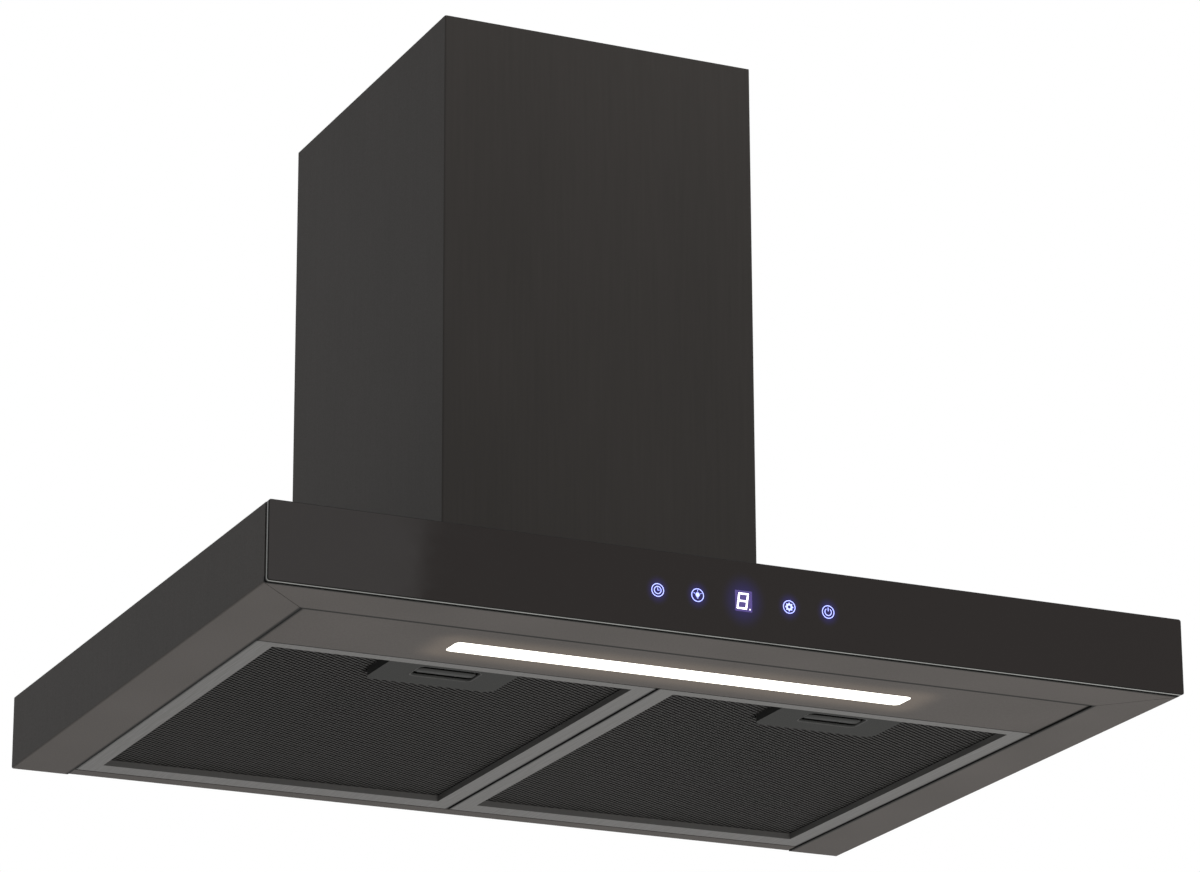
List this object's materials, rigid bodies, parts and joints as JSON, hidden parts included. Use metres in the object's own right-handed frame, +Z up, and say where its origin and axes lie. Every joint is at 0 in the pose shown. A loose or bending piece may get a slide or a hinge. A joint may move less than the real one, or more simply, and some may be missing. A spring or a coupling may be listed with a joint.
{
  "type": "wall-mounted chimney range hood",
  "caption": "Wall-mounted chimney range hood: flat canopy with a glass touch front, lamp strip, two latched grease filters, ducted blower and a telescopic chimney.",
  "frame": {"origin": "on the wall plane, at the middle of the canopy's lower rear edge", "axes": "+X to the right of someone facing the hood, +Y into the wall, +Z up"},
  "size_m": [0.6, 0.46, 0.459],
  "materials": {
    "powder_coat": "satin charcoal powder coat with a fine grain",
    "front_glass": "toughened glass, back-painted near black",
    "tape_foam": "black foam tape",
    "circuit_board": "solder-masked board",
    "display_case": "matt black display case",
    "contact_steel": "bright spring steel",
    "diffuser": "opal diffuser, lit",
    "led": "lit LED packages",
    "aluminium": "bare pressed aluminium",
    "filter_frame_metal": "satin aluminium",
    "filter_mesh_metal": "expanded aluminium mesh, dark in shade",
    "galvanised": "galvanised sheet",
    "zinc_steel": "zinc-plated fasteners",
    "black_moulding": "matt black moulding",
    "grey_moulding": "dark grey moulding",
    "white_moulding": "white moulding",
    "motor_casting": "painted motor can",
    "mount_rubber": "black rubber"
  },
  "bodies": {
    "hood": {"canopy_shell": "powder_coat", "rear_panel": "powder_coat", "front_glass": "front_glass", "glass_tape": "tape_foam", "touch_board": "circuit_board", "display_module": "display_case", "touch_springs": "contact_steel", "touch_board_clips": "grey_moulding", "lamp_panel": "powder_coat", "lamp_lens": "diffuser", "led_holder": "aluminium", "led_board": "white_moulding", "leds": "led", "lamp_brackets": "galvanised", "lamp_nuts": "zinc_steel", "led_driver": "white_moulding", "control_box": "grey_moulding", "control_lid": "grey_moulding", "power_board": "circuit_board", "terminal_block": "white_moulding", "lower_chimney": "powder_coat", "blower_box": "galvanised", "box_front": "galvanised", "box_cover": "galvanised", "inlet_grille": "black_moulding", "volute_left": "black_moulding", "volute_right": "black_moulding", "motor": "motor_casting", "motor_bracket": "galvanised", "motor_mounts": "mount_rubber", "motor_screws": "zinc_steel", "capacitor": "white_moulding", "outlet_spigot": "black_moulding", "flap_pin": "contact_steel", "cable_gland": "black_moulding", "gland_nut": "black_moulding", "canopy_screws": "zinc_steel", "spigot_screws": "zinc_steel"},
    "upper_chimney": {"upper_chimney": "powder_coat", "chimney_bracket": "galvanised", "bracket_screws": "zinc_steel"},
    "filter_left": {"filter_frame_left": "filter_frame_metal", "filter_face_mesh_left": "filter_mesh_metal", "filter_core_left": "filter_mesh_metal", "filter_back_mesh_left": "filter_mesh_metal", "filter_handle_left": "grey_moulding", "latch_spring_left": "contact_steel"},
    "latch_left": {"filter_latch_left": "grey_moulding"},
    "filter_right": {"filter_frame_right": "filter_frame_metal", "filter_face_mesh_right": "filter_mesh_metal", "filter_core_right": "filter_mesh_metal", "filter_back_mesh_right": "filter_mesh_metal", "filter_handle_right": "grey_moulding", "latch_spring_right": "contact_steel"},
    "latch_right": {"filter_latch_right": "grey_moulding"},
    "blower_wheel": {"blower_wheel": "grey_moulding", "motor_shaft": "contact_steel", "wheel_nut": "zinc_steel"},
    "flap_front": {"damper_flap_front": "grey_moulding"},
    "flap_rear": {"damper_flap_rear": "grey_moulding"}
  },
  "joints": [
    {"name": "chimney_slide", "type": "slide", "parent": "hood", "child": "upper_chimney", "axis": [0, 0, 1], "range_m": [0, 0.33]},
    {"name": "filter_left_tilt", "type": "hinge", "parent": "hood", "child": "filter_left", "pos_m": [-0.131, -0.0115, 0.0015], "axis": [1, 0, 0], "range_deg": [0, 45]},
    {"name": "filter_right_tilt", "type": "hinge", "parent": "hood", "child": "filter_right", "pos_m": [0.131, -0.0115, 0.0015], "axis": [1, 0, 0], "range_deg": [0, 45]},
    {"name": "latch_left_slide", "type": "slide", "parent": "filter_left", "child": "latch_left", "axis": [0, 1, 0], "range_m": [0, 0.005], "stiffness_N_per_m": 300, "springref_m": -0.004, "deforming": ["latch_spring_left"]},
    {"name": "latch_right_slide", "type": "slide", "parent": "filter_right", "child": "latch_right", "axis": [0, 1, 0], "range_m": [0, 0.005], "stiffness_N_per_m": 300, "springref_m": -0.004, "deforming": ["latch_spring_right"]},
    {"name": "blower_spin", "type": "hinge", "parent": "hood", "child": "blower_wheel", "pos_m": [0, -0.125, 0.16], "axis": [1, 0, 0], "continuous": true},
    {"name": "flap_front_swing", "type": "hinge", "parent": "hood", "child": "flap_front", "pos_m": [0, -0.088, 0.326], "axis": [-1, 0, 0], "range_deg": [0, 78]},
    {"name": "flap_rear_swing", "type": "hinge", "parent": "hood", "child": "flap_rear", "pos_m": [0, -0.088, 0.326], "axis": [1, 0, 0], "range_deg": [0, 78]}
  ]
}
